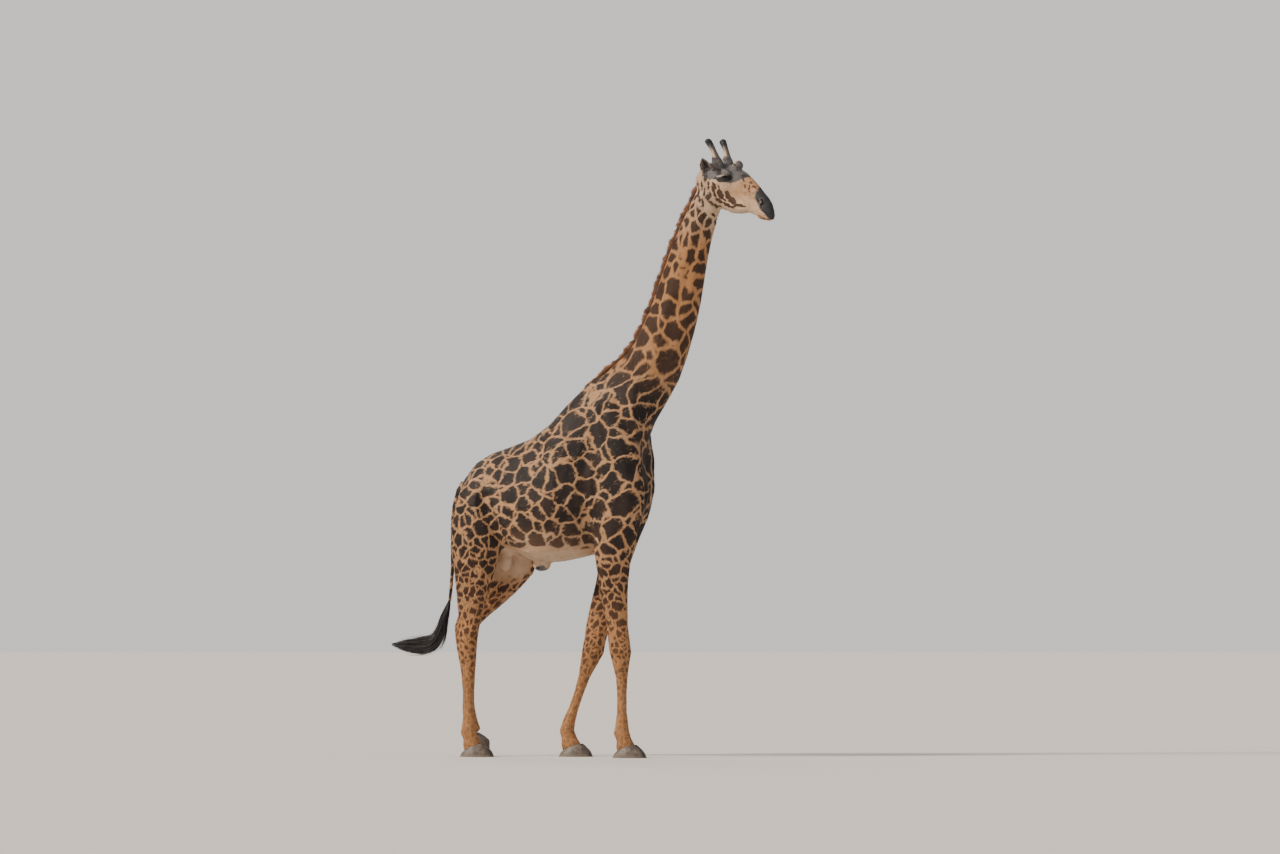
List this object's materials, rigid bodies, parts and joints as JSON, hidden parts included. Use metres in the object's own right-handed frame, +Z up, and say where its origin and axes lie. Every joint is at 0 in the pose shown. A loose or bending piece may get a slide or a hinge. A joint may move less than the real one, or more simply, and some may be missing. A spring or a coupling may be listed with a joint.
{
  "type": "giraffe model",
  "caption": "Life-size still model of a bull Masai giraffe in mid-stride, neck raised and head turned a little, standing on its own hooves.",
  "frame": {"origin": "centre of the bounding box at floor level", "axes": "+X the way the giraffe faces, +Y its left, +Z up"},
  "size_m": [3.5294, 0.7446, 5.2955],
  "materials": {
    "coat": "short flat hair, near-black brown patches parted by tan lines",
    "mane": "stiff upright red-brown hair",
    "tail_hair": "long coarse black hair",
    "ossicone": "grey skin with thin hair and worn dark tips",
    "hoof": "dull dark horn",
    "eye": "wet gloss, very dark brown"
  },
  "bodies": {
    "root": {"ear_left": "coat", "ear_right": "coat", "eye_left": "eye", "eye_right": "eye", "forearm_front_left": "coat", "forearm_front_right": "coat", "foreleg_front_left": "coat", "foreleg_front_right": "coat", "head": "coat", "hind_shank_hind_left": "coat", "hind_shank_hind_right": "coat", "hoof_front_left_toe_left": "hoof", "hoof_front_left_toe_right": "hoof", "hoof_front_right_toe_left": "hoof", "hoof_front_right_toe_right": "hoof", "hoof_hind_left_toe_left": "hoof", "hoof_hind_left_toe_right": "hoof", "hoof_hind_right_toe_left": "hoof", "hoof_hind_right_toe_right": "hoof", "lower_jaw": "coat", "mane": "mane", "neck_lower": "coat", "neck_upper": "coat", "ossicone_left": "ossicone", "ossicone_right": "ossicone", "tail": "coat", "tail_tuft": "tail_hair", "thigh_hind_left": "coat", "thigh_hind_right": "coat", "trunk": "coat"}
  },
  "joints": []
}
